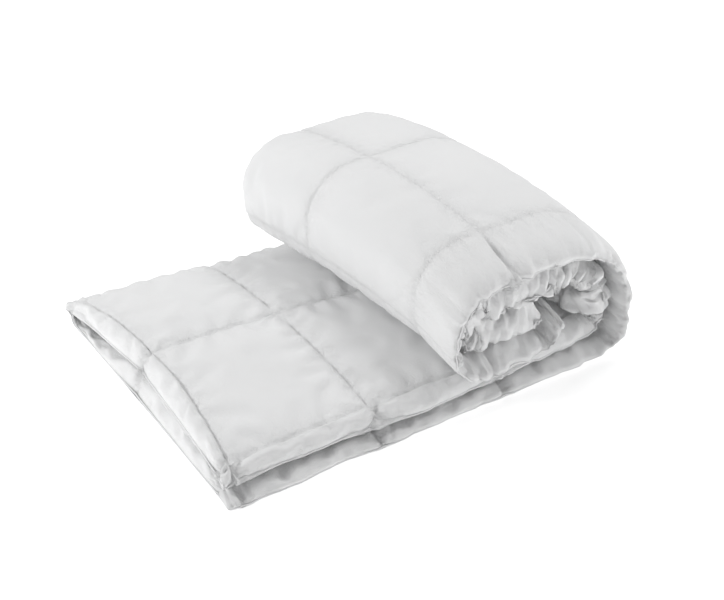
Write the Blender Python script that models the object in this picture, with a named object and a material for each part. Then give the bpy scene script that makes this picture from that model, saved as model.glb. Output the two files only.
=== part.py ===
"""Duvet quilted in boxes, folded in half along its length and rolled up from one end.

The duvet is worked out flat as a grid of lines running along its length (u) and
across its width (v). The grid is folded about its middle seam and carried round the
section of the roll. Every piece is then a slice between the two cloth panels, so the
panels, the down and the baffles lie inside each other with the same small gap.
"""
import math

import bmesh
import bpy
import numpy as np

NAME = "duvet"

# ---- the flat duvet, metres ----
LENGTH = 2.06
WIDTH = 1.40
BOXES_LONG = 7
BOXES_WIDE = 4
BORDER = 0.08          # stuffed channel from the hem to the seam inside it
CLOTH = 0.0006         # thickness of a cotton panel
GAP = 0.0005           # air left between pieces that touch
BAFFLE = 0.0008        # thickness of the walls sewn between the chambers
HEM_THICK = 0.0050     # both panels and the down between them at the hem
TAPE = 0.0040          # width of the binding outside the panels

# ---- the folded stack ----
LOFT = 0.088           # two plies, highest line of the stack
EDGE_LOFT = 0.058      # two plies, along the fold and the border seam
TAIL_FLUFF = 0.10      # the open tail stands this share higher than the roll's bed
COIL_SQUEEZE = 0.85    # share of the loft left where the stack is rolled
FOLD_Y = 0.592         # where the plies start to turn into the fold
TAIL_SPREAD = 0.055    # the open end of the tail is this share wider
LOWER_HEM_Y = -0.017
UPPER_HEM_Y = 0.0
BORDER_SHOWN = 0.035   # width of the border across the stack, its edge rounded down
MIDDLE_SEAM = 0.345    # the middle seam of each ply, from the hems
PLY_GAP = 0.004        # between the two plies
SEAM_DEPTH = 0.009     # how far a seam draws the panel in
INNER_SEAM_DEPTH = 0.004
FOOT_DEPTH = 0.007     # the same for the panel that lies on the floor
LOWER_HEM_LIFT = 0.008
UPPER_HEM_LIFT = 0.041
SET_BACK = 0.030       # upper hem of the tail, drawn back from the lower one
HEM_TUCK = 0.56        # share of the border's width lost where the tail's end curls

# ---- the roll ----
ROLL_HEIGHT = 0.334    # at its highest
ROLL_WIDTH = 0.441
LOW_BEND = 1.10        # radius of the two lower bends, in lofts
RIGHT_BEND = 2.10      # radius of the upper bend away from the tail, in lofts
TOP_BEND = 1.25        # radius of the upper bend over the tail, in lofts
INNER_RUN = 0.125      # flat run of the rolled-in end
CURL_RADIUS = 0.075
CURL_TURN = math.radians(78)
END_SHRINK = 0.135     # the roll is lower towards the open hems, and towards the fold
PEAK_Y = 0.36          # where the roll stands highest
SKEW = 0.070           # the roll is turned this far to the left along the fold
SAG = 0.018            # the rolled-in end drops this far at the open hems
SAG_REACH = 0.14       # how far in from the hems it drops


# ------------------------------------------------------------------ the roll's section
def coil_runs():
    """Straights and bends of the roll's outer line, as (length, turn) from the tail."""
    low = LOW_BEND * LOFT
    high = TOP_BEND * LOFT
    far = RIGHT_BEND * LOFT
    quarter = math.pi / 2
    seat = LOFT + 0.005
    right = max(ROLL_HEIGHT - low - far, 0.001)
    left = max(ROLL_HEIGHT - low - high - seat, 0.001)
    top = ROLL_WIDTH - high - far
    coil = [(low * quarter, quarter), (right, 0.0), (far * quarter, quarter),
            (top, 0.0), (high * quarter, quarter), (left, 0.0),
            (low * quarter, quarter), (INNER_RUN, 0.0),
            (CURL_RADIUS * CURL_TURN, CURL_TURN)]
    floor = LENGTH - sum(run[0] for run in coil)
    return [(floor, 0.0)] + coil


def section(s):
    """Points and inward normals of the roll's outer line at path lengths s."""
    x = np.zeros_like(s)
    z = np.zeros_like(s)
    heading = np.zeros_like(s)
    start, px, pz, angle = 0.0, 0.0, 0.0, 0.0
    for length, turn in coil_runs():
        inside = (s >= start - 1e-9)
        t = np.clip(s - start, 0, length)
        if turn:
            radius = length / turn
            a = angle + t / radius
            dx = radius * (np.sin(a) - math.sin(angle))
            dz = -radius * (np.cos(a) - math.cos(angle))
        else:
            a = angle + 0 * t
            dx = t * math.cos(angle)
            dz = t * math.sin(angle)
        x = np.where(inside, px + dx, x)
        z = np.where(inside, pz + dz, z)
        heading = np.where(inside, a, heading)
        if turn:
            px += radius * (math.sin(angle + turn) - math.sin(angle))
            pz -= radius * (math.cos(angle + turn) - math.cos(angle))
        else:
            px += length * math.cos(angle)
            pz += length * math.sin(angle)
        start += length
        angle += turn
    return x, z, -np.sin(heading), np.cos(heading)


def smooth(a, b, x):
    """Ease from 0 at a to 1 at b."""
    t = np.clip((x - a) / (b - a), 0, 1)
    return t * t * (3 - 2 * t)


# ------------------------------------------------------------------ grid of the flat duvet
def seams_long():
    """Places along the length where a seam crosses the duvet."""
    return np.linspace(BORDER, LENGTH - BORDER, BOXES_LONG + 1)


def seams_wide():
    """Places across the width where a seam runs along the duvet."""
    return np.linspace(BORDER, WIDTH - BORDER, BOXES_WIDE + 1)


def lines_long():
    """Grid lines along the length, closer where the section bends."""
    seams = seams_long()
    lines = [0.0, 0.15 * BORDER, 0.5 * BORDER, seams[0]]
    for a, b in zip(seams[:-1], seams[1:]):
        turns = section(np.array([a, b]))
        turned = abs(turns[2][1] - turns[2][0]) + abs(turns[3][1] - turns[3][0])
        box = [0.13, 0.5, 0.87] if turned < 0.01 else np.linspace(0.1, 0.9, 6)
        lines.extend(a + (b - a) * np.array(box))
        lines.append(b)
    lines.extend([LENGTH - 0.5 * BORDER, LENGTH - 0.15 * BORDER, LENGTH])
    return np.array(lines)


def turn_length():
    """Width of cloth taken by a quarter of the fold."""
    return math.pi / 2 * EDGE_LOFT / 4


def lines_wide():
    """Grid lines across the width, with extra ones round the fold."""
    seams = seams_wide()
    middle = WIDTH / 2
    turn = turn_length()
    half = [0.0, 0.15 * BORDER, 0.5 * BORDER]
    box = seams[1] - seams[0]
    half.extend(seams[0] + box * np.array([0.0, 0.13, 0.5, 0.87, 1.0]))
    half.extend(seams[1] + box * np.array([0.13, 0.5]))
    half.extend([middle - turn, middle - turn / 2])
    half.append(middle - BAFFLE / 2 - GAP)
    half = np.array(half)
    return np.concatenate([half, (WIDTH - half)[::-1]])


def seam_pull(x, seams):
    """1 on a seam, 0 in the middle of a box."""
    t = np.interp(x, seams, np.arange(len(seams)))
    inside = (1 - np.abs(np.sin(math.pi * t))) ** 3
    return np.where((x < seams[0]) | (x > seams[-1]), 0.5, inside)


def hem_ease(u, v):
    """0 at the hem, 1 from the border seam inwards."""
    along = np.minimum(u, LENGTH - u) / BORDER
    across = np.minimum(v, WIDTH - v) / BORDER
    return np.clip(np.minimum(along, across), 0, 1)


def stack_loft(u, y):
    """Height of the two plies: highest along the middle, lower to the hems and fold."""
    crown = np.sin(math.pi * np.clip(y / FOLD_Y, 0, 1)) ** 0.7
    tail = 1 + TAIL_FLUFF * (1 - smooth(0.40, 0.56, u))
    floor = coil_runs()[0][0]
    rolled = 1 - (1 - COIL_SQUEEZE) * smooth(floor - 0.03, floor + 0.05, u)
    return EDGE_LOFT + (LOFT * tail * rolled - EDGE_LOFT) * crown


def fold(v):
    """Place across the stack and angle of the ply: 0 lying down, pi turned over."""
    middle = WIDTH / 2
    turn = turn_length()
    box = seams_wide()[1] - seams_wide()[0]
    away = np.abs(v - middle)
    side = np.sign(v - middle)
    angle = math.pi / 2 * (1 + side * np.clip(away / turn, 0, 1))
    hem = np.where(side < 0, LOWER_HEM_Y, UPPER_HEM_Y)
    seam = hem + BORDER_SHOWN
    far = np.clip((away - turn) / (box - turn), 0, 1)
    near = np.clip((away - box) / box, 0, 1)
    y = FOLD_Y - (FOLD_Y - MIDDLE_SEAM) * far - (MIDDLE_SEAM - seam) * near
    edge = np.clip((middle - away) / BORDER, 0, 1)
    return np.where(away > 2 * box, hem + BORDER_SHOWN * edge, y), angle


def panels(us, vs):
    """Outer and inner panel of the folded and rolled duvet at every crossing."""
    u, v = np.meshgrid(us, vs, indexing="ij")
    y, angle = fold(v)
    half = stack_loft(u, y) / 2
    pull = 1 - (1 - seam_pull(u, seams_long())) * (1 - seam_pull(v, seams_wide()))
    floor = coil_runs()[0][0]
    lying = (v < WIDTH / 2) & (u < floor)
    foot = FOOT_DEPTH * np.clip((pull - 0.4) / 0.6, 0, 1)
    outer = half - np.where(lying, foot, SEAM_DEPTH * pull)
    inner = PLY_GAP / 2 + INNER_SEAM_DEPTH * pull
    lift = np.where(v < WIDTH / 2, half - LOWER_HEM_LIFT, UPPER_HEM_LIFT - half)
    lift = np.clip(lift, 0.006, half - 0.006)
    ease = 1 - (1 - hem_ease(u, v)) ** 2
    outer = lift + HEM_THICK / 2 + (outer - lift - HEM_THICK / 2) * ease
    inner = lift - HEM_THICK / 2 + (inner - lift + HEM_THICK / 2) * ease
    return [roll(u, y, angle, half, reach) for reach in (outer, inner)]


def roll(u, y, angle, half, reach):
    """Carry a point of the stack round the section of the roll."""
    height = half - np.cos(angle) * reach
    across = y + np.sin(angle) * reach
    x, z, nx, nz = section(u)
    tall = 1 - END_SHRINK * (across / PEAK_Y - 1) ** 2
    inside = smooth(LENGTH - 0.53, LENGTH - 0.36, u)
    sag = SAG * inside * np.clip(1 - (across - LOWER_HEM_Y) / SAG_REACH, 0, 1) ** 2
    back = SET_BACK * np.sin(math.pi * np.clip(across / FOLD_Y, 0, 1))
    back = back * np.clip(1 - u / 0.27, 0, 1) * np.clip(height / (2 * half), 0, 1)
    skew = SKEW * np.clip(across / FOLD_Y, 0, 1.1) ** 1.3 * smooth(0.25, 0.60, u)
    tuck = HEM_TUCK * np.clip(BORDER - u, 0, None)
    x = x + nx * height + back + tuck - skew
    spread = 1 + TAIL_SPREAD * (1 - smooth(0.05, 0.50, u))
    return np.stack([x, across * spread, z * tall + nz * height - sag], -1)


# ------------------------------------------------------------------ solids
def sample(grid, base_u, base_v, us, vs):
    """Points of a panel between the grid lines, on the straight lines joining them."""
    rows = np.stack([[np.interp(us, base_u, grid[:, j, k]) for k in range(3)]
                     for j in range(len(base_v))])
    out = np.empty((len(us), len(vs), 3))
    for i in range(len(us)):
        for k in range(3):
            out[i, :, k] = np.interp(vs, base_v, rows[:, k, i])
    return out


class Duvet:
    """The two panels on the base grid, and slices taken between them."""

    def __init__(self):
        self.u = lines_long()
        self.v = lines_wide()
        self.outer, self.inner = panels(self.u, self.v)

    def slice(self, us, vs, depth_outer, depth_inner):
        """Matched faces set in from the outer and the inner panel. None means no face there."""
        a = sample(self.outer, self.u, self.v, us, vs)
        b = sample(self.inner, self.u, self.v, us, vs)
        way = (b - a) / np.linalg.norm(b - a, axis=-1, keepdims=True)
        top = a + way * depth_outer if depth_outer is not None else b - way * CLOTH
        bottom = b - way * depth_inner if depth_inner is not None else a + way * CLOTH
        return top, bottom


def body(name, top, bottom, material, collection, mask=None):
    """Closed body between two matched grids of points, kept where mask is true."""
    nu, nv = top.shape[:2]
    if mask is None:
        mask = np.ones((nu - 1, nv - 1), bool)
    mesh = bmesh.new()
    verts = {}

    def vert(level, i, j):
        key = (level, i, j)
        if key not in verts:
            verts[key] = mesh.verts.new((top, bottom)[level][i, j])
        return verts[key]

    def quad(a, b, c, d):
        mesh.faces.new((a, b, c))
        mesh.faces.new((a, c, d))

    for i, j in zip(*np.nonzero(mask)):
        quad(*(vert(0, *p) for p in ((i, j), (i + 1, j), (i + 1, j + 1), (i, j + 1))))
        quad(*(vert(1, *p) for p in ((i, j), (i + 1, j), (i + 1, j + 1), (i, j + 1))))
        sides = (((i, j), (i + 1, j), i, j - 1), ((i + 1, j), (i + 1, j + 1), i + 1, j),
                 ((i + 1, j + 1), (i, j + 1), i, j + 1), ((i, j + 1), (i, j), i - 1, j))
        for p, q, ni, nj in sides:
            outside = ni < 0 or nj < 0 or ni >= nu - 1 or nj >= nv - 1
            if outside or not mask[ni, nj]:
                quad(vert(0, *p), vert(0, *q), vert(1, *q), vert(1, *p))
    bmesh.ops.recalc_face_normals(mesh, faces=mesh.faces)
    return finish(name, mesh, material, collection)


def finish(name, mesh, material, collection):
    """Turn a bmesh into a smooth-shaded object of the collection."""
    data = bpy.data.meshes.new(name)
    mesh.to_mesh(data)
    mesh.free()
    data.materials.append(material)
    for polygon in data.polygons:
        polygon.use_smooth = True
    piece = bpy.data.objects.new(name, data)
    collection.objects.link(piece)
    return piece


def cloth_material(name, colour, roughness):
    """Principled material of one piece."""
    material = bpy.data.materials.new(name)
    material.use_nodes = True
    shader = material.node_tree.nodes["Principled BSDF"]
    shader.inputs["Base Color"].default_value = (*colour, 1.0)
    shader.inputs["Roughness"].default_value = roughness
    return material


# ------------------------------------------------------------------ the pieces
def make_panels(duvet, collection):
    """The two cotton panels, each one cloth over the whole duvet."""
    a, b = duvet.slice(duvet.u, duvet.v, 0.0, 0.0)
    way = (b - a) / np.linalg.norm(b - a, axis=-1, keepdims=True)
    white = (0.86, 0.86, 0.85)
    body("panel_outer", a, a + way * CLOTH,
         cloth_material("panel_outer", white, 0.85), collection)
    body("panel_inner", b - way * CLOTH, b,
         cloth_material("panel_inner", white, 0.85), collection)


def between(lines, a, b):
    """Ends a and b with the grid lines that lie between them."""
    inside = lines[(lines > a + 1e-6) & (lines < b - 1e-6)]
    return np.concatenate([[a], inside, [b]])


def chamber_ends(seams, full):
    """Start and end of every chamber's down; the outer ones reach the hem."""
    clear = BAFFLE / 2 + GAP
    starts = [0.0] + [s + clear for s in seams[1:-1]]
    ends = [s - clear for s in seams[1:-1]] + [full]
    return list(zip(starts, ends))


def make_fill(duvet, collection):
    """One cushion of down for every box."""
    depth = CLOTH + GAP
    rows = chamber_ends(seams_long(), LENGTH)
    columns = chamber_ends(seams_wide(), WIDTH)
    for i, (u0, u1) in enumerate(rows):
        for j, (v0, v1) in enumerate(columns):
            name = f"down_{i + 1}_{j + 1}"
            top, bottom = duvet.slice(between(duvet.u, u0, u1),
                                      between(duvet.v, v0, v1), depth, depth)
            body(name, top, bottom, cloth_material(name, (0.82, 0.80, 0.76), 0.95),
                 collection)


def wall_lines(lines, seams):
    """Grid lines with both faces of each baffle, and which gaps are baffles."""
    walls = seams[1:-1]
    kept = [x for x in lines if seams[0] - 1e-6 <= x <= seams[-1] + 1e-6
            and np.abs(walls - x).min() > 1e-6]
    faces = np.concatenate([walls - BAFFLE / 2, walls + BAFFLE / 2])
    out = np.sort(np.concatenate([kept, faces]))
    centres = (out[:-1] + out[1:]) / 2
    is_wall = np.array([np.abs(walls - c).min() < 1e-6 for c in centres])
    return out, is_wall


def make_baffles(duvet, collection):
    """Walls sewn between the two panels along the seams, one crossed grid."""
    depth = CLOTH + GAP
    us, wall_u = wall_lines(duvet.u, seams_long())
    vs, wall_v = wall_lines(duvet.v, seams_wide())
    mask = wall_u[:, None] | wall_v[None, :]
    top, bottom = duvet.slice(us, vs, depth, depth)
    body("baffle_grid", top, bottom,
         cloth_material("baffle_grid", (0.80, 0.80, 0.79), 0.9), collection, mask)


def rim(duvet):
    """Crossings round the hem in order, with the way out of the cloth at each."""
    nu, nv = len(duvet.u), len(duvet.v)
    ring = [(i, 0) for i in range(nu)] + [(nu - 1, j) for j in range(1, nv)]
    ring += [(i, nv - 1) for i in range(nu - 2, -1, -1)]
    ring += [(0, j) for j in range(nv - 2, 0, -1)]
    middle = (duvet.outer + duvet.inner) / 2
    outs = []
    for i, j in ring:
        out = np.zeros(3)
        if i in (0, nu - 1):
            step = middle[i, j] - middle[1 if i == 0 else nu - 2, j]
            out = out + step / np.linalg.norm(step)
        if j in (0, nv - 1):
            step = middle[i, j] - middle[i, 1 if j == 0 else nv - 2]
            out = out + step / np.linalg.norm(step)
        outs.append(out)
    return ring, np.array(outs)


def make_binding(duvet, collection):
    """Tape sewn round the hem, just outside the edges of the two panels."""
    ring, outs = rim(duvet)
    a = np.array([duvet.outer[i, j] for i, j in ring])
    b = np.array([duvet.inner[i, j] for i, j in ring])
    near, far = GAP, GAP + TAPE
    corners = [a + outs * near, a + outs * far, b + outs * far, b + outs * near]
    mesh = bmesh.new()
    rows = [[mesh.verts.new(p) for p in corner] for corner in corners]
    count = len(ring)
    for k in range(4):
        one, two = rows[k], rows[(k + 1) % 4]
        for i in range(count):
            n = (i + 1) % count
            mesh.faces.new((one[i], one[n], two[n]))
            mesh.faces.new((one[i], two[n], two[i]))
    bmesh.ops.recalc_face_normals(mesh, faces=mesh.faces)
    finish("hem_binding", mesh, cloth_material("hem_binding", (0.84, 0.84, 0.83), 0.8),
           collection)


def centre(collection):
    """Set the origin on the floor under the middle of the whole duvet."""
    points = np.array([v.co for piece in collection.objects for v in piece.data.vertices])
    middle = (points.min(axis=0) + points.max(axis=0)) / 2
    for piece in collection.objects:
        piece.location = (-middle[0], -middle[1], -points[:, 2].min())


def main():
    for item in list(bpy.data.objects):
        bpy.data.objects.remove(item, do_unlink=True)
    collection = bpy.data.collections.new(NAME)
    bpy.context.scene.collection.children.link(collection)
    duvet = Duvet()
    make_panels(duvet, collection)
    make_fill(duvet, collection)
    make_baffles(duvet, collection)
    make_binding(duvet, collection)
    centre(collection)


main()
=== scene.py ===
# %% [markdown]
# # A duvet, folded in half and rolled up
#
# The duvet is one closed bag: an outer cotton panel, an inner one, and seams that part
# the down into boxes. Its shape is made in three steps. A flat panel is puffed up with
# Blender's cloth, held along its seams, which gives the puckers. The bag is folded in
# half along its length. Then the folded stack is carried round the section of the roll.

import math

import bpy
import numpy as np
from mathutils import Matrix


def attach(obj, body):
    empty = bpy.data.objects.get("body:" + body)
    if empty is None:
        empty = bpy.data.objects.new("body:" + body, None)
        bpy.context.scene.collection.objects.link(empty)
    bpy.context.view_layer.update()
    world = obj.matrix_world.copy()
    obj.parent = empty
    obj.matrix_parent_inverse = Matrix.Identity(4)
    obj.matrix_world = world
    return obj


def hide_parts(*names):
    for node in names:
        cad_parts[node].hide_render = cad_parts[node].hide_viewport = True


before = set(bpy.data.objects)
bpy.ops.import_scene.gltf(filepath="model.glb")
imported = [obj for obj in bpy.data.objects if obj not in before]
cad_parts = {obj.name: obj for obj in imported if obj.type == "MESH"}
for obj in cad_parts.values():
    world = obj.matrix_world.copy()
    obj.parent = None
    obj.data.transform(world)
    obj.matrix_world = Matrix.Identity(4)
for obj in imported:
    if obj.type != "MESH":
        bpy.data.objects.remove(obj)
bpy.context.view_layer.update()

# %% [markdown]
# ## Sizes
#
# Everything is in metres. `u` runs along the duvet's length, `v` across its width, and
# `reach` is how far a panel lies from the middle of the folded stack.

# %% Sizes
LENGTH, WIDTH = 2.06, 1.40
BOXES_LONG, BOXES_WIDE = 7, 4
BORDER = 0.08
BOX_LONG = (LENGTH - 2 * BORDER) / BOXES_LONG
BOX_WIDE = (WIDTH - 2 * BORDER) / BOXES_WIDE
U_SEAMS = BORDER + BOX_LONG * np.arange(BOXES_LONG + 1)
V_SEAMS = BORDER + BOX_WIDE * np.arange(BOXES_WIDE + 1)
ORIGIN = np.array([0.48279, 0.31424, 0.0])

LOFT, EDGE_LOFT, ROLL_EDGE_LOFT = 0.088, 0.064, 0.078
TAIL_FLUFF, COIL_SQUEEZE = 0.12, 0.88
FOLD_Y = 0.592
PLY_GAP = 0.004
HEM_THICK = 0.003
TAIL_SPREAD, SET_BACK = 0.055, 0.030

ROLL_HEIGHT, ROLL_WIDTH = 0.334, 0.441
LOW_BEND, RIGHT_BEND, TOP_BEND = 0.0968, 0.1848, 0.110
SEAT = 0.093
INNER_RUN = 0.125
CURL_RADIUS, CURL_TURN = 0.060, math.radians(97.5)
END_SHRINK, PEAK_Y = 0.135, 0.36
SKEW = 0.070
SAG, SAG_REACH = 0.018, 0.14

# Places across the stack: on the tail, and how much further in on the roll.
UPPER_HEM_Y, LOWER_HEM_Y = (0.0, 0.012), (-0.017, 0.0)
UPPER_SEAM_Y, LOWER_SEAM_Y = (0.026, 0.044), (0.030, 0.060)
UPPER_MIDDLE_Y, LOWER_MIDDLE_Y = (0.338, 0.020), (0.340, 0.060)

# The puffed border: how far it shows past its seam, and how full its edge is.
OPEN_END_SHOWN, ROLLED_END_SHOWN = 0.022, 0.078
END_PULL = 0.014
BAND_FULLNESS = 0.72

# The hem's level in its ply, and how far its weight takes it from there.
HEM_LEVEL, HEM_FALL = 0.5, 0.36
HANG = 0.048
CORE_SWELL = 0.044

# Heights of the relief.
SEAM_DROP, ROLL_SEAM_DROP, INNER_DROP = 0.012, 0.0055, 0.006
BUCKLES = 0.9
RIDGES = 0.0019
FANS, FAN_REACH = 0.0040, 0.034
PUCKERS, ROLL_PUCKERS = 0.0078, 0.0022
WAVES = 0.0022
LUMPS, RIM_LUMPS = 0.013, 0.022
LUMP_SIZE, RIM_REACH = 0.038, 0.11
GATHERS, CORE_GATHERS = 0.0018, 0.0056


# %% [markdown]
# ## The section of the roll
#
# Seen from the open hems, the lower ply's outer face runs along the floor, turns up,
# comes back over the top, goes down onto the tail and ends inside. Each run is a
# straight or an arc, so a point of it follows from the path length alone.

# %% The section of the roll
def coil_runs():
    """(length, turn) of every run, from the open tail to the rolled-in end."""
    quarter = math.pi / 2
    coil = [(LOW_BEND * quarter, quarter), (ROLL_HEIGHT - LOW_BEND - RIGHT_BEND, 0.0),
            (RIGHT_BEND * quarter, quarter), (ROLL_WIDTH - TOP_BEND - RIGHT_BEND, 0.0),
            (TOP_BEND * quarter, quarter), (ROLL_HEIGHT - LOW_BEND - TOP_BEND - SEAT, 0.0),
            (LOW_BEND * quarter, quarter), (INNER_RUN, 0.0),
            (CURL_RADIUS * CURL_TURN, CURL_TURN)]
    return [(LENGTH - sum(run[0] for run in coil), 0.0)] + coil


FLOOR_RUN = coil_runs()[0][0]
STEP = 0.0005


def walk():
    """Path lengths with the heading, x, z and bend there: steps along the heading, summed."""
    path = np.arange(0, LENGTH + STEP, STEP)
    turn = np.zeros_like(path)
    start = 0.0
    for length, angle in coil_runs():
        here = (path >= start) & (path < start + length)
        turn[here] = angle / length
        start += length
    kernel = np.hanning(61)
    turn = np.convolve(np.pad(turn, 30, mode="edge"), kernel / kernel.sum(), "valid")
    heading = np.cumsum(turn) * STEP
    return path, heading, np.cumsum(np.cos(heading)) * STEP, np.cumsum(np.sin(heading)) * STEP, turn


PATH, HEADING, PATH_X, PATH_Z, BEND = walk()


def section(s):
    """Point and inward normal of the roll's outer line at path length s."""
    a = np.interp(s, PATH, HEADING)
    return np.interp(s, PATH, PATH_X), np.interp(s, PATH, PATH_Z), -np.sin(a), np.cos(a)


def smooth(a, b, x):
    """Ease from 0 at a to 1 at b."""
    t = np.clip((x - a) / (b - a), 0, 1)
    return t * t * (3 - 2 * t)


# %% [markdown]
# ## Puffing up a patch of cloth
#
# A flat patch of two boxes by two, with the border on two sides, is held along every
# seam and the hem, given a little more cloth than the space between them, and blown up
# from below. The cloth buckles across the seams as sewn cotton does. Every seam stays
# where it was, so the boxes can be laid side by side, turned over for variety, to make
# the whole panel.

# %% Puffing up a patch of cloth
CELLS_U, CELLS_V = (16, 52), (16, 62)
PATCH_BOXES = 2
SLACK = 0.06
PRESSURE = 2.5
STIFFNESS = 30.0
FRAMES = 30


def grid_lines(cells, first, box, boxes, last):
    """Even steps in the borders and boxes, with a line exactly on every seam."""
    parts = [np.linspace(0, first, cells[0] + 1)]
    for i in range(boxes):
        start = first + box * i
        parts.append(np.linspace(start, start + box, cells[1] + 1)[1:])
    if last:
        start = first + box * boxes
        parts.append(np.linspace(start, start + last, cells[0] + 1)[1:])
    return np.concatenate(parts)


def box_bulge(x, first, box):
    """0 on the seams, 1 in the middle of a box; the border is a short box."""
    t = np.where(x < first, x / first, (x - first) / box)
    return np.abs(np.sin(math.pi * t))


def quads(nu, nv):
    """Corner numbers of every cell of an nu by nv grid."""
    n = np.arange(nu * nv).reshape(nu, nv)
    return np.stack([n[:-1, :-1], n[1:, :-1], n[1:, 1:], n[:-1, 1:]], -1).reshape(-1, 4)


def puff_up(us, vs):
    """Offsets (du, dv, height) of the puffed patch from the flat one."""
    u, v = np.meshgrid(us, vs, indexing="ij")
    bulge = np.sqrt(box_bulge(u, BORDER, BOX_LONG) * box_bulge(v, BORDER, BOX_WIDE))
    rise = 0.014 * bulge + np.random.default_rng(7).normal(0, 0.0003, u.shape)
    held_u = np.concatenate([[0], BORDER + BOX_LONG * np.arange(PATCH_BOXES + 1)])
    held_v = np.concatenate([[0], BORDER + BOX_WIDE * np.arange(PATCH_BOXES + 1)])
    on_seam = (np.abs(u[..., None] - held_u).min(-1) < 1e-6)
    on_seam |= (np.abs(v[..., None] - held_v).min(-1) < 1e-6)
    rise[on_seam] = 0
    rest = np.stack([u, v, rise], -1)
    flat = np.stack([u, v, 0 * u], -1)
    mesh = bpy.data.meshes.new("flat_patch")
    mesh.from_pydata(rest.reshape(-1, 3).tolist(), [], quads(*u.shape).tolist())
    patch = bpy.data.objects.new("flat_patch", mesh)
    bpy.context.scene.collection.objects.link(patch)
    held = patch.vertex_groups.new(name="seams")
    held.add([int(i) for i in np.nonzero(on_seam.reshape(-1))[0]], 1.0, "REPLACE")
    cloth = patch.modifiers.new("Cloth", "CLOTH")
    cloth.settings.quality = 5
    cloth.settings.mass = 0.1
    cloth.settings.tension_stiffness = 15
    cloth.settings.compression_stiffness = 15
    cloth.settings.shear_stiffness = 5
    cloth.settings.bending_stiffness = STIFFNESS
    cloth.settings.air_damping = 5
    cloth.settings.vertex_group_mass = "seams"
    cloth.settings.shrink_min = -SLACK
    cloth.settings.use_pressure = True
    cloth.settings.uniform_pressure_force = PRESSURE
    cloth.settings.effector_weights.gravity = 0
    cloth.collision_settings.use_collision = False
    cloth.point_cache.frame_end = FRAMES + 1
    for f in range(1, FRAMES + 1):
        bpy.context.scene.frame_set(f)
    shaped = patch.evaluated_get(bpy.context.evaluated_depsgraph_get()).to_mesh()
    at = np.empty(len(shaped.vertices) * 3)
    shaped.vertices.foreach_get("co", at)
    bpy.data.objects.remove(patch, do_unlink=True)
    bpy.context.scene.frame_set(1)
    return at.reshape(rest.shape) - flat


def soften(a, width):
    """Average over neighbours, `width` cells out; the edges stay where they are."""
    kernel = np.hanning(2 * width + 3)[1:-1]
    kernel /= kernel.sum()
    for axis in (0, 1):
        pad = [(0, 0)] * a.ndim
        pad[axis] = (width, width)
        wide = np.pad(a, pad, mode="reflect", reflect_type="odd")
        n = a.shape[axis]
        parts = [np.take(wide, range(k, k + n), axis) * w for k, w in enumerate(kernel)]
        a = sum(parts)
    return a


def tile(patch, i, j, boxes_u, boxes_v):
    """The patch's cells for box i, j of the panel, turned over so that few look alike."""
    def pick(k, last, cells, flip):
        """The patch's cells along one axis, and whether to turn them over."""
        if k == 0 or k == last:
            return slice(0, cells[0] + 1), k == last
        which = (k + flip) % PATCH_BOXES
        start = cells[0] + cells[1] * which
        return slice(start, start + cells[1] + 1), (k // 2 + flip) % 2 == 1
    rows, back_u = pick(i, boxes_u + 1, CELLS_U, j // 2)
    columns, back_v = pick(j, boxes_v + 1, CELLS_V, i // 2)
    if (i in (0, boxes_u + 1)) and 0 < j <= boxes_v:
        back_v = (i + j) % 2 == 1
    if (j in (0, boxes_v + 1)) and 0 < i <= boxes_u:
        back_u = (i + j) % 2 == 1
    part = patch[rows, columns]
    if back_u:
        part = part[::-1] * [-1, 1, 1, -1, 1, 1][:part.shape[-1]]
    if back_v:
        part = part[:, ::-1] * [1, -1, 1, 1, -1, 1][:part.shape[-1]]
    return part


def spread(patch):
    """The whole panel's offsets: (du, dv, broad height, fine height)."""
    nu = 2 * CELLS_U[0] + BOXES_LONG * CELLS_U[1] + 1
    nv = 2 * CELLS_V[0] + BOXES_WIDE * CELLS_V[1] + 1
    out = np.zeros((nu, nv, 4))
    a = 0
    for i in range(BOXES_LONG + 2):
        b = 0
        for j in range(BOXES_WIDE + 2):
            part = soften(tile(patch, i, j, BOXES_LONG, BOXES_WIDE), 2)
            broad = soften(part[..., 2], 7)
            out[a:a + part.shape[0], b:b + part.shape[1], :2] = part[..., :2]
            out[a:a + part.shape[0], b:b + part.shape[1], 2] = broad / max(broad.max(), 1e-6)
            out[a:a + part.shape[0], b:b + part.shape[1], 3] = part[..., 2] - broad
            b += part.shape[1] - 1
        a += part.shape[0] - 1
    return out


patch_u = grid_lines(CELLS_U, BORDER, BOX_LONG, PATCH_BOXES, 0)
patch_v = grid_lines(CELLS_V, BORDER, BOX_WIDE, PATCH_BOXES, 0)
offset = spread(puff_up(patch_u, patch_v))
us = grid_lines(CELLS_U, BORDER, BOX_LONG, BOXES_LONG, BORDER)
vs = grid_lines(CELLS_V, BORDER, BOX_WIDE, BOXES_WIDE, BORDER)
U, V = np.meshgrid(us, vs, indexing="ij")
print("puffed panel: fine height", round(float(np.abs(offset[..., 3]).max()) * 1000, 1),
      "mm, moved", round(float(np.abs(offset[..., :2]).max()) * 1000, 1), "mm in its plane")


# %% [markdown]
# ## Relief of a panel
#
# The puffed patch gives the cloth's own buckles. On top of it come the things that a
# patch held flat can't show: how deep the seams draw in, the short ridges across every
# seam, the creases that fan out of every crossing of two seams, and the crumpling where
# the roll is squeezed. Each is a height over the flat cloth, so they simply add up.

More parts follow.
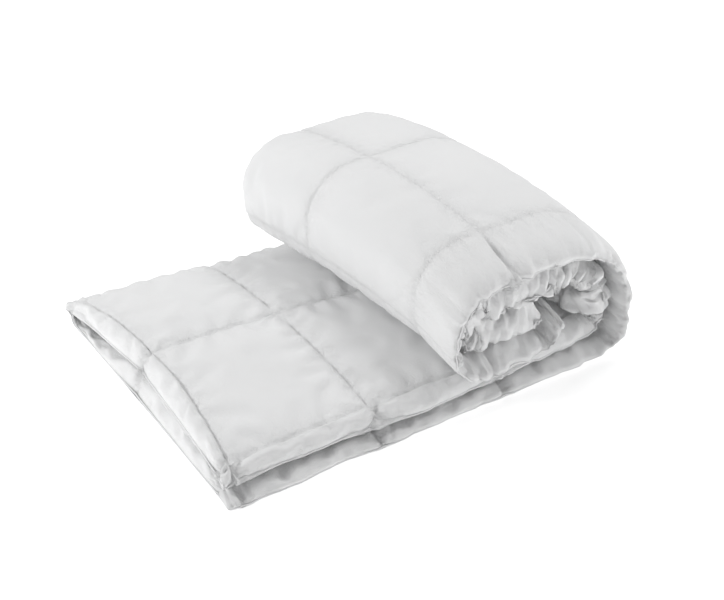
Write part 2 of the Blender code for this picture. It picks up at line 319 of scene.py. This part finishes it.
# %% Relief of a panel
def noise(x, y, scale, seed):
    """Random heights from -1 to 1 on a square grid, eased in between."""
    table = np.random.default_rng(seed).uniform(-1, 1, (256, 256))
    gx = x / scale[0] + 40.0
    gy = y / scale[1] + 40.0
    i = np.floor(gx).astype(int)
    j = np.floor(gy).astype(int)
    a, b = gx - i, gy - j
    a, b = a * a * (3 - 2 * a), b * b * (3 - 2 * b)
    i, j, k, l = i % 256, j % 256, (i + 1) % 256, (j + 1) % 256
    near = table[i, j] * (1 - a) + table[k, j] * a
    far = table[i, l] * (1 - a) + table[k, l] * a
    return near * (1 - b) + far * b


def crumple(x, y, scale, seed):
    """Round lumps with sharp valleys between them: three sizes of |noise|, 0 to 1."""
    warp = 0.35 * scale * noise(x, y, (scale, scale), seed + 9)
    total = np.zeros_like(x)
    for k, share in enumerate((0.42, 0.34, 0.24)):
        size = scale / 1.9 ** k
        total += share * np.abs(noise(x + warp, y - warp, (size, size), seed + k))
    return total ** 0.8


def nearest(x, seams):
    """Distance to the nearest seam."""
    return np.abs(x[..., None] - seams).min(-1)


def seam_dip(u, v):
    """1 on a seam and 0 in the middle of a box; the border rises again to its hem."""
    def arch(x, seams, full):
        """|sin| between seams; |cos| of a quarter turn across the border."""
        t = np.interp(x, seams, np.arange(len(seams)))
        inside = np.abs(np.sin(math.pi * t))
        edge = np.minimum(x, full - x) / BORDER
        return np.where(edge < 1, np.abs(np.cos(math.pi / 2 * edge)), inside)
    return 1 - (arch(u, U_SEAMS, LENGTH) * arch(v, V_SEAMS, WIDTH)) ** 0.42


def seam_ridges(u, v, seed):
    """Short ridges across every seam, each with its own length, about -1 to 1."""
    total = np.zeros_like(u)
    rows = [(v, u, x) for x in V_SEAMS] + [(u, v, x) for x in U_SEAMS]
    for k, (across, along, x) in enumerate(rows):
        away = np.abs(across - x)
        side = np.where(across > x, 1, -1) * 0.37
        ridge = noise(along + 0.25 * away, side, (0.0085, 1.0), seed + k)
        long = 0.016 * (1.2 + noise(along, side, (0.030, 1.0), seed + 40 + k))
        total += ridge * np.exp(-away / long) * (1 - np.exp(-away / 0.003))
    return total


def crossing_folds(u, v, seed, reach):
    """Creases that fan out of every crossing of two seams, about -1 to 1."""
    total = np.zeros_like(u)
    for i, x in enumerate(U_SEAMS):
        for j, y in enumerate(V_SEAMS):
            r = np.hypot(u - x, v - y)
            near = r < 5 * reach
            a = np.arctan2(v[near] - y, u[near] - x)
            fan = noise(np.cos(a), np.sin(a), (0.30, 0.30), seed + 8 * i + j)
            fade = np.exp(-r[near] / reach) * smooth(0.0, 0.5 * reach, r[near])
            total[near] += 1.6 * fan * fade
    return total


def hem_puckers(u, v, seed):
    """Dents across the border, at the ends of the seams and here and there between."""
    total = np.zeros_like(u)
    edges = ((u, U_SEAMS, np.minimum(v, WIDTH - v), v > WIDTH / 2, LENGTH),
             (v, V_SEAMS, np.minimum(u, LENGTH - u), u > LENGTH / 2, WIDTH))
    for k, (along, seams, away, far, full) in enumerate(edges):
        rng = np.random.default_rng(seed + k)
        for side in (False, True):
            spare = rng.uniform(0.02, full - 0.02, int(full * 9))
            for n, place in enumerate(np.concatenate([seams, seams + 0.016, spare])):
                width = rng.uniform(0.003, 0.008)
                deep = rng.uniform(0.5, 1.0) if n < 2 * len(seams) else rng.uniform(0.1, 0.6)
                lean = rng.uniform(-0.3, 0.3)
                dent = np.exp(-((along - place - lean * away) / width) ** 2)
                shape = smooth(-0.01, 0.02, away) * (1 - smooth(0.6 * BORDER, 1.15 * BORDER, away))
                total -= np.where(far == side, deep * dent * shape, 0)
    return total


def gathers(u, v, seed):
    """Fine folds that run in from the hem, each leaning its own way, about -1 to 1."""
    away = np.minimum(v, WIDTH - v)
    lean = 0.25 * away * noise(u, v > WIDTH / 2, (0.06, 1.0), seed)
    fold = np.abs(noise(u + lean, v > WIDTH / 2, (0.0105, 1.0), seed + 1)) ** 0.7 * 2 - 1
    return fold * np.exp(-away / 0.060) * smooth(-0.004, 0.012, away)


# %% [markdown]
# ## Folding and rolling
#
# `fold_line` places a point across the stack: flat up to the far side, then round the
# fold. In the border the panel turns down round the puffed edge, as a quarter ellipse
# filled out by `BAND_FULLNESS` (1 would be a plain ellipse, less is fuller).
# `carry` then takes the stack round the roll's section, lower towards the open hems.
# Last, the relief is added along the surface's own normal.

# %% Folding and rolling
TURN = math.pi / 2 * EDGE_LOFT / 4


def in_roll(s):
    """0 on the tail, 1 once the stack has left the floor."""
    return smooth(FLOOR_RUN - 0.03, FLOOR_RUN + 0.10, s)


def place(above, below, upper, r):
    """A place across the stack for each ply: its value on the tail plus r times its shift."""
    return np.where(upper, above[0] + above[1] * r, below[0] + below[1] * r)


def fold_line(u, v):
    """Place across the stack, angle of the ply (0 lying down, pi turned over), rise."""
    middle = WIDTH / 2
    away = np.abs(v - middle)
    upper = v > middle
    angle = math.pi / 2 * (1 + np.where(upper, 1, -1) * np.clip(away / TURN, 0, 1))
    r = smooth(0.55, 0.95, u)
    wander = 0.005 * noise(u, upper * 1.0, (0.09, 1.0), 61)
    wander += (0.0015 + 0.0030 * r) * noise(u, upper * 1.0, (0.019, 1.0), 62)
    hem = place(UPPER_HEM_Y, LOWER_HEM_Y, upper, r) + wander
    seam = place(UPPER_SEAM_Y, LOWER_SEAM_Y, upper, r)
    mid = place(UPPER_MIDDLE_Y, LOWER_MIDDLE_Y, upper, r)
    first = np.clip((away - TURN) / (BOX_WIDE - TURN), 0, 1)
    second = np.clip((away - BOX_WIDE) / BOX_WIDE, 0, 1)
    psi = math.pi / 2 * np.clip((middle - away) / BORDER, 0, 1)
    y = FOLD_Y - (FOLD_Y - mid) * first - (mid - seam) * second
    y = np.where(away > middle - BORDER, hem + (seam - hem) * (1 - np.cos(psi)), y)
    return y, angle, np.sin(psi) ** BAND_FULLNESS


def end_line(u):
    """Path length and rise of a line of the flat duvet: its ends are rounded like a hem."""
    psi = math.pi / 2 * np.clip(np.minimum(u, LENGTH - u) / BORDER, 0, 1)
    shown = np.where(u < LENGTH / 2, OPEN_END_SHOWN, ROLLED_END_SHOWN) * np.cos(psi)
    pulled = END_PULL * np.clip(1 - (u - BORDER) / BOX_LONG, 0, 1)
    s = np.where(u < BORDER, BORDER - END_PULL - shown,
                 np.where(u > LENGTH - BORDER, LENGTH - BORDER + shown, u - pulled))
    return s, np.sin(psi) ** BAND_FULLNESS


def loft(s, y):
    """Height of the two plies: highest along the middle, lower to the hems and fold."""
    crown = np.sin(math.pi * np.clip(y / FOLD_Y, 0, 1)) ** 0.7
    r = in_roll(s)
    middle = LOFT * (1 + TAIL_FLUFF * (1 - smooth(0.40, 0.56, s)))
    middle = middle * (1 - (1 - COIL_SQUEEZE) * r)
    edge = EDGE_LOFT + (ROLL_EDGE_LOFT - EDGE_LOFT) * r * (1 - smooth(0.10, 0.35, y))
    return edge + (middle - edge) * crown


def core_room(s, half):
    """How far the down can swell towards the core before the bend closes on itself."""
    room = np.clip(0.88 / np.maximum(BEND, 1e-3), 0, 0.4)
    room = np.interp(s, PATH, room)
    return np.clip(room - 2 * half, 0, CORE_SWELL)


def carry(s, y, height, half):
    """Take a point of the stack, `height` above its outer face, round the section."""
    x, z, nx, nz = section(s)
    tall = 1 - END_SHRINK * (y / PEAK_Y - 1) ** 2
    skew = SKEW * np.clip(y / FOLD_Y, 0, 1.1) ** 1.3 * smooth(0.25, 0.60, s)
    back = SET_BACK * np.sin(math.pi * np.clip(y / FOLD_Y, 0, 1))
    back = back * np.clip(1 - s / 0.27, 0, 1) * np.clip(height / (2 * half), 0, 1)
    spread = 1 + TAIL_SPREAD * (1 - smooth(0.05, 0.50, s))
    near = np.clip(1 - (y + 0.017) / SAG_REACH, 0, 1) ** 2
    sag = SAG * near * smooth(LENGTH - 0.53, LENGTH - 0.36, s)
    return np.stack([x + nx * height + back - skew, y * spread, z * tall + nz * height - sag], -1)


def base(outer, u, v):
    """The smooth panel: its points, and masks for the roll, the floor and the core."""
    y, angle, rise_v = fold_line(u, v)
    s, rise_u = end_line(u)
    half = loft(s, y) / 2
    turned = -np.cos(angle)
    down = np.cos(np.interp(s, PATH, HEADING))
    rise = np.clip(rise_u * rise_v, 0, 1)
    core = np.clip(turned, 0, 1) * smooth(FLOOR_RUN + 0.02, FLOOR_RUN + 0.15, s)
    swell = core_room(s, half) * core * (0.7 + 0.5 * noise(u, v, (0.11, 0.09), 77))
    side = 1 if outer else -1
    hang = HANG * core * np.clip(-down, 0, 1) * (0.75 + 0.5 * noise(u, v, (0.035, 1.0), 78))
    edge = half * (HEM_LEVEL - HEM_FALL * turned * down) + hang + side * HEM_THICK / 2
    opening = 0.022 * smooth(0.34, 0.54, y) * (1 - smooth(0.0, 0.34, s)) * rise_u ** 0.5
    opening += 0.007 * (1 - smooth(0.0, 0.12, y))
    full = half + swell if outer else PLY_GAP / 2 + opening
    reach = np.maximum(edge + (full - edge) * rise, 0.0005)
    height = half - np.cos(angle) * reach
    points = carry(s, y + np.sin(angle) * reach, height, half)
    lying = np.clip(-turned, 0, 1) * (1 - smooth(FLOOR_RUN - 0.02, FLOOR_RUN + 0.04, s))
    return points, in_roll(s), lying, core, rise


def normals(points, outer):
    """Unit normals out of the down: across the length and width of the grid."""
    along = np.gradient(points, axis=0)
    across = np.gradient(points, axis=1)
    n = np.cross(across, along) if outer else np.cross(along, across)
    return n / np.maximum(np.linalg.norm(n, axis=-1, keepdims=True), 1e-12)


def panel(outer, seed):
    """Points of the outer or inner panel in the row frame, relief and all."""
    flip = offset if outer else offset[::-1, ::-1] * [-1, -1, 1, 1]
    points, roll, lying, core, rise = base(outer, U + flip[..., 0], V + flip[..., 1])
    drop = SEAM_DROP + (ROLL_SEAM_DROP - SEAM_DROP) * roll if outer else INNER_DROP
    taut = 1.0 - 0.55 * roll * (1 - core)
    hem = np.minimum(np.minimum(U, LENGTH - U), np.minimum(V, WIDTH - V))
    rim = np.exp(-hem / RIM_REACH)
    h = -drop * seam_dip(U, V)
    h += taut * (BUCKLES * flip[..., 3] + RIDGES * seam_ridges(U, V, seed))
    h += taut * FANS * crossing_folds(U, V, seed + 100, FAN_REACH)
    puckers = hem_puckers(U, V, seed + 200) * (0.35 + 0.65 * rise)
    h += (PUCKERS + ROLL_PUCKERS * roll) * puckers
    h += WAVES * noise(U, V, (0.17, 0.13), seed + 300) * (1 - 0.5 * roll)
    squeezed = np.clip(core + (0 if outer else 0.6 * roll), 0, 1)
    lumps = crumple(U, V * 0.5, LUMP_SIZE, seed + 400) - 0.35
    h += squeezed * lumps * (LUMPS + RIM_LUMPS * rim)
    h += (GATHERS + CORE_GATHERS * squeezed) * gathers(U, V, seed + 500)
    if outer:
        h = h * (1 - smooth(0.3, 0.7, lying))
    points = points + normals(points, outer) * h[..., None]
    points[..., 2] = np.maximum(points[..., 2], 0.0003)
    return points - ORIGIN


def mesh_object(name, points, faces, material, smooth_shade=True):
    """A mesh object in the row frame, in the scene."""
    mesh = bpy.data.meshes.new(name)
    mesh.vertices.add(len(points))
    mesh.vertices.foreach_set("co", np.asarray(points, np.float32).reshape(-1))
    faces = np.asarray(faces)
    n = faces.shape[1]
    mesh.loops.add(faces.size)
    mesh.loops.foreach_set("vertex_index", faces.reshape(-1).astype(np.int32))
    mesh.polygons.add(len(faces))
    mesh.polygons.foreach_set("loop_start", np.arange(0, faces.size, n, dtype=np.int32))
    mesh.update(calc_edges=True)
    mesh.validate()
    mesh.polygons.foreach_set("use_smooth", np.full(len(faces), smooth_shade))
    mesh.materials.append(material)
    thing = bpy.data.objects.new(name, mesh)
    bpy.context.scene.collection.objects.link(thing)
    return thing


def rim_order(nu, nv):
    """Grid numbers round the hem, in order."""
    n = np.arange(nu * nv).reshape(nu, nv)
    return np.concatenate([n[:, 0], n[-1, 1:], n[-2::-1, -1], n[0, -2:0:-1]])


# %% [markdown]
# ## White down-proof cotton
#
# Down-proof cotton is woven so tightly that a feather can't get through: matt, a little
# silky, and crisp, so it keeps tiny crinkles wherever thread holds it. The cover, the
# piping and the thread share one node group for this. It reads the cloth's own UV map,
# in metres, so the weave follows every fold.

# %% White down-proof cotton
def add(tree, kind, **values):
    """A node of a kind, with attributes set by name."""
    node = tree.nodes.new(kind)
    for name, value in values.items():
        setattr(node, name, value)
    return node


def maths(tree, operation, a, b=None):
    """A Math node fed by a socket or a number on each side."""
    node = add(tree, "ShaderNodeMath", operation=operation)
    for k, value in enumerate((a, b)):
        if isinstance(value, (int, float)):
            node.inputs[k].default_value = value
        elif value is not None:
            tree.links.new(value, node.inputs[k])
    return node.outputs[0]


def cotton_group():
    """Group: woven height, crinkles and a faint unevenness of colour, from metres of cloth."""
    group = bpy.data.node_groups.new("cotton_weave", "ShaderNodeTree")
    face = group.interface
    face.new_socket("Cloth", in_out="INPUT", socket_type="NodeSocketVector")
    face.new_socket("Colour", in_out="INPUT", socket_type="NodeSocketColor")
    face.new_socket("Shade", in_out="INPUT", socket_type="NodeSocketColor")
    face.new_socket("Thread spacing", in_out="INPUT", socket_type="NodeSocketFloat")
    face.new_socket("Crinkle", in_out="INPUT", socket_type="NodeSocketFloat")
    face.new_socket("Colour", in_out="OUTPUT", socket_type="NodeSocketColor")
    face.new_socket("Roughness", in_out="OUTPUT", socket_type="NodeSocketFloat")
    face.new_socket("Height", in_out="OUTPUT", socket_type="NodeSocketFloat")
    get = add(group, "NodeGroupInput")
    put = add(group, "NodeGroupOutput")
    link = group.links.new
    split = add(group, "ShaderNodeSeparateXYZ")
    link(get.outputs["Cloth"], split.inputs[0])
    turns = maths(group, "DIVIDE", 2 * math.pi, get.outputs["Thread spacing"])
    warp = maths(group, "SINE", maths(group, "MULTIPLY", split.outputs["X"], turns))
    weft = maths(group, "SINE", maths(group, "MULTIPLY", split.outputs["Y"], turns))
    woven = maths(group, "MULTIPLY", maths(group, "MULTIPLY", warp, weft), 0.00003)
    crease = add(group, "ShaderNodeTexNoise")
    crease.inputs["Scale"].default_value = 85.0
    crease.inputs["Detail"].default_value = 5.0
    crease.inputs["Roughness"].default_value = 0.6
    crease.inputs["Distortion"].default_value = 0.8
    link(get.outputs["Cloth"], crease.inputs["Vector"])
    ridge = maths(group, "ABSOLUTE", maths(group, "SUBTRACT", crease.outputs["Fac"], 0.5))
    depth = maths(group, "MULTIPLY", get.outputs["Crinkle"], -0.0060)
    crinkle = maths(group, "MULTIPLY", ridge, depth)
    link(maths(group, "ADD", woven, crinkle), put.inputs["Height"])
    patches = add(group, "ShaderNodeTexNoise")
    patches.inputs["Scale"].default_value = 9.0
    patches.inputs["Detail"].default_value = 6.0
    link(get.outputs["Cloth"], patches.inputs["Vector"])
    mix = add(group, "ShaderNodeMix", data_type="RGBA")
    link(patches.outputs["Fac"], mix.inputs["Factor"])
    link(get.outputs["Colour"], mix.inputs["A"])
    link(get.outputs["Shade"], mix.inputs["B"])
    link(mix.outputs["Result"], put.inputs["Colour"])
    rough = maths(group, "MULTIPLY", patches.outputs["Fac"], 0.12)
    link(maths(group, "ADD", rough, 0.80), put.inputs["Roughness"])
    return group


COTTON = cotton_group()


def cotton(name, colour, shade, spacing):
    """A cotton finish: the group gives colour, roughness and height; the sheen is its own."""
    material = bpy.data.materials.new(name)
    material.use_nodes = True
    tree = material.node_tree
    shader = tree.nodes["Principled BSDF"]
    shader.inputs["Sheen Weight"].default_value = 0.20
    shader.inputs["Sheen Roughness"].default_value = 0.45
    shader.inputs["Specular IOR Level"].default_value = 0.30
    weave = add(tree, "ShaderNodeGroup", node_tree=COTTON)
    weave.inputs["Colour"].default_value = (*colour, 1)
    weave.inputs["Shade"].default_value = (*shade, 1)
    weave.inputs["Thread spacing"].default_value = spacing
    cloth = add(tree, "ShaderNodeUVMap", uv_map="cloth")
    gathered = add(tree, "ShaderNodeAttribute", attribute_name="gathered")
    bump = add(tree, "ShaderNodeBump")
    bump.inputs["Distance"].default_value = 1.0
    tree.links.new(cloth.outputs["UV"], weave.inputs["Cloth"])
    tree.links.new(gathered.outputs["Fac"], weave.inputs["Crinkle"])
    tree.links.new(weave.outputs["Height"], bump.inputs["Height"])
    tree.links.new(bump.outputs["Normal"], shader.inputs["Normal"])
    tree.links.new(weave.outputs["Colour"], shader.inputs["Base Color"])
    tree.links.new(weave.outputs["Roughness"], shader.inputs["Roughness"])
    return material


cover_cotton = cotton("cover_cotton", (0.86, 0.86, 0.86), (0.82, 0.825, 0.83), 0.0007)
piping_cotton = cotton("piping_cotton", (0.85, 0.85, 0.85), (0.80, 0.80, 0.81), 0.0010)
thread_cotton = cotton("thread_cotton", (0.80, 0.80, 0.80), (0.74, 0.74, 0.75), 0.0004)
print("cotton finishes:", cover_cotton.name, piping_cotton.name, thread_cotton.name)


def dress(thing, cloth, gathered):
    """Give a piece its cloth UV map, in metres, and how gathered it is at each vertex."""
    mesh = thing.data
    corner = np.empty(len(mesh.loops), np.int32)
    mesh.loops.foreach_get("vertex_index", corner)
    layer = mesh.uv_layers.new(name="cloth")
    layer.data.foreach_set("uv", np.asarray(cloth, np.float32)[corner].reshape(-1))
    field = mesh.attributes.new("gathered", "FLOAT", "POINT")
    field.data.foreach_set("value", np.asarray(gathered, np.float32))


# %% [markdown]
# ## The cover
#
# Outer and inner panel are two grids over the same flat cloth, joined round the hem by
# one row of faces, so the cover is a single closed bag.

# %% The cover
outer = panel(True, 200)
inner = panel(False, 400)
nu, nv = U.shape
count = nu * nv
rim = rim_order(nu, nv)
after = np.roll(rim, -1)
cells = quads(nu, nv)
edge = np.stack([after, after + count, rim + count, rim], -1)
faces = np.concatenate([cells[:, ::-1], cells + count, edge])
bag = np.concatenate([outer.reshape(-1, 3), inner.reshape(-1, 3)])
cover = mesh_object("duvet_cover", bag, faces, cover_cotton)
flat_cloth = np.stack([U, V], -1).reshape(-1, 2)
by_seam = np.minimum(nearest(U, U_SEAMS), nearest(V, V_SEAMS))
by_hem = np.minimum(np.minimum(U, LENGTH - U), np.minimum(V, WIDTH - V))
gathered = np.clip(0.10 + 0.9 * np.exp(-by_seam / 0.020) + 0.5 * np.exp(-by_hem / 0.03), 0, 1)
dress(cover, np.concatenate([flat_cloth, flat_cloth + [0, 3.0]]), np.tile(gathered.reshape(-1), 2))
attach(cover, "root")
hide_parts("panel_outer", "panel_inner", "baffle_grid",
            *[f"down_{i}_{j}" for i in range(1, 8) for j in range(1, 5)])
volume = np.einsum("ij,ij->", bag[faces[:, 0]], np.cross(bag[faces[:, 1]], bag[faces[:, 2]]))
volume += np.einsum("ij,ij->", bag[faces[:, 0]], np.cross(bag[faces[:, 2]], bag[faces[:, 3]]))
print("cover:", len(faces), "faces, holds", round(float(volume) / 6 * 1000, 1), "litres")

# %% [markdown]
# ## Piping round the hem
#
# A cord wrapped in a strip of the same cotton closes the hem. It is a small circle
# carried along the middle of the hem, so it follows every gather.

# %% Piping round the hem
PIPING_RADIUS = 0.0017
PIPING_SIDES = 8


def rings_to_tube(centres, out, through, radius, sides):
    """Closed tube: at every centre a circle spanned by two crosswise directions."""
    a = 2 * math.pi * np.arange(sides) / sides
    ring = centres[:, None] + radius * (out[:, None] * np.cos(a)[None, :, None]
                                        + through[:, None] * np.sin(a)[None, :, None])
    n = len(centres)
    i, k = np.meshgrid(np.arange(n), np.arange(sides), indexing="ij")
    i2, k2 = (i + 1) % n, (k + 1) % sides
    corners = [i * sides + k, i2 * sides + k, i2 * sides + k2, i * sides + k2]
    return ring.reshape(-1, 3), np.stack(corners, -1).reshape(-1, 4)


hem_at = (outer.reshape(-1, 3)[rim] + inner.reshape(-1, 3)[rim]) / 2
tangent = np.roll(hem_at, -1, 0) - np.roll(hem_at, 1, 0)
tangent /= np.linalg.norm(tangent, axis=1, keepdims=True)
through = outer.reshape(-1, 3)[rim] - inner.reshape(-1, 3)[rim]
through -= tangent * (through * tangent).sum(1, keepdims=True)
through /= np.linalg.norm(through, axis=1, keepdims=True)
out = np.cross(tangent, through)
hem_at[:, 2] = np.maximum(hem_at[:, 2], PIPING_RADIUS)
tube, tube_faces = rings_to_tube(hem_at, out, through, PIPING_RADIUS, PIPING_SIDES)
piping = mesh_object("hem_piping", tube, tube_faces, piping_cotton)
run = np.concatenate([[0], np.cumsum(np.linalg.norm(np.diff(hem_at, axis=0), axis=1))])
wrap = np.arange(PIPING_SIDES) * 2 * math.pi * PIPING_RADIUS / PIPING_SIDES
dress(piping, np.stack(np.broadcast_arrays(run[:, None], wrap[None, :]), -1).reshape(-1, 2),
      np.full(len(tube), 0.3))
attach(piping, "root")
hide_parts("hem_binding")
print("piping:", round(float(run[-1]), 2), "m round the hem")

# %% [markdown]
# ## Stitches
#
# Every seam is a row of lockstitches, each one a small grain of thread 2.6 mm long. A
# stitch is a stretched double pyramid of eight faces, laid on the panel along its seam.

# %% Stitches
STITCH_PITCH = 0.0040
STITCH_LONG, STITCH_WIDE = 0.0026, 0.00045
GRAIN = np.array([[-0.5, 0, 0], [0.5, 0, 0], [0, -0.5, 0], [0, 0, 0.5], [0, 0.5, 0], [0, 0, -0.5]])
GRAIN_FACES = np.array([[0, 2, 3], [0, 3, 4], [0, 4, 5], [0, 5, 2],
                        [1, 3, 2], [1, 4, 3], [1, 5, 4], [1, 2, 5]])


def stitch_row(line, up):
    """Places, directions and normals of the stitches along a seam."""
    length = np.concatenate([[0], np.cumsum(np.linalg.norm(np.diff(line, axis=0), axis=1))])
    at = np.arange(STITCH_PITCH, length[-1], STITCH_PITCH)

    def on(values, where):
        """Values at path lengths along the seam."""
        return np.stack([np.interp(where, length, values[:, k]) for k in range(3)], -1)

    way = on(line, at + 0.001) - on(line, at - 0.001)
    way /= np.linalg.norm(way, axis=1, keepdims=True)
    normal = on(up, at)
    normal -= way * (normal * way).sum(1, keepdims=True)
    normal /= np.linalg.norm(normal, axis=1, keepdims=True)
    return on(line, at) + normal * 0.0002, way, normal


rows = []
seam_rows = [CELLS_U[0] + CELLS_U[1] * k for k in range(BOXES_LONG + 1)]
seam_columns = [CELLS_V[0] + CELLS_V[1] * k for k in range(BOXES_WIDE + 1)]
for side, points in ((True, outer), (False, inner)):
    up = normals(points, side)
    rows += [stitch_row(points[k], up[k]) for k in seam_rows]
    rows += [stitch_row(points[:, k], up[:, k]) for k in seam_columns]
spot, way, normal = (np.concatenate([row[k] for row in rows]) for k in range(3))
sideways = np.cross(normal, way)
thread = (spot[:, None] + way[:, None] * GRAIN[None, :, :1] * STITCH_LONG
          + sideways[:, None] * GRAIN[None, :, 1:2] * STITCH_WIDE
          + normal[:, None] * GRAIN[None, :, 2:] * STITCH_WIDE)
thread_faces = (GRAIN_FACES[None] + 6 * np.arange(len(spot))[:, None, None]).reshape(-1, 3)
stitches = mesh_object("seam_stitches", thread.reshape(-1, 3), thread_faces, thread_cotton)
dress(stitches, np.tile(GRAIN[:, :2] * 0.003, (len(spot), 1)), np.zeros(6 * len(spot)))
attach(stitches, "root")
print("stitches:", len(spot))

# %% [markdown]
# ## Camera, floor and light
#
# A long lens looks down on the duvet from the front left. The floor glows a little so that
# it stays plain and pale. A key light from the left, a soft one above and a weak fill from
# the right leave the end of the roll the darkest part.

# %% Camera, floor and light
scene = bpy.context.scene
scene.view_settings.view_transform = "Standard"
camera_data = bpy.data.cameras.new("camera")
camera_data.sensor_width = 36.0
camera_data.lens = 72.71
camera = bpy.data.objects.new("camera", camera_data)
camera.location = (-0.768 - ORIGIN[0], -1.686 - ORIGIN[1], 1.6645)
camera.rotation_euler = (math.pi / 2 - math.radians(33.82), 0, -math.radians(32.8))
scene.collection.objects.link(camera)
scene.camera = camera

floor_mesh = bpy.data.meshes.new("floor")
floor_mesh.from_pydata([(-9, -9, -0.0005), (9, -9, -0.0005), (9, 9, -0.0005), (-9, 9, -0.0005)],
                       [], [(0, 1, 2, 3)])
floor_material = bpy.data.materials.new("floor")
floor_material.use_nodes = True
floor_shader = floor_material.node_tree.nodes["Principled BSDF"]
floor_shader.inputs["Base Color"].default_value = (0.95, 0.95, 0.95, 1)
floor_shader.inputs["Roughness"].default_value = 1.0
floor_shader.inputs["Emission Color"].default_value = (1, 1, 1, 1)
floor_shader.inputs["Emission Strength"].default_value = 0.45
floor_mesh.materials.append(floor_material)
floor = bpy.data.objects.new("floor", floor_mesh)
scene.collection.objects.link(floor)

world = bpy.data.worlds.new("world")
world.use_nodes = True
world.node_tree.nodes["Background"].inputs["Color"].default_value = (1, 1, 1, 1)
world.node_tree.nodes["Background"].inputs["Strength"].default_value = 0.42
scene.world = world


def area_light(name, location, target, size, power):
    """A square studio light aimed at a point."""
    data = bpy.data.lights.new(name, "AREA")
    data.size = size
    data.energy = power
    lamp = bpy.data.objects.new(name, data)
    lamp.location = location
    way = np.array(target) - np.array(location)
    yaw = math.atan2(-way[0], way[1])
    pitch = math.atan2(math.hypot(way[0], way[1]), -way[2])
    lamp.rotation_euler = (pitch, 0, yaw)
    scene.collection.objects.link(lamp)
    return lamp


area_light("key", (-2.6, 0.9, 1.7), (0, 0, 0.1), 1.0, 39)
area_light("top", (1.3, 0.6, 2.6), (0, 0, 0.1), 1.2, 28)
area_light("fill", (2.2, -1.6, 0.9), (0.3, -0.1, 0.15), 0.8, 13)
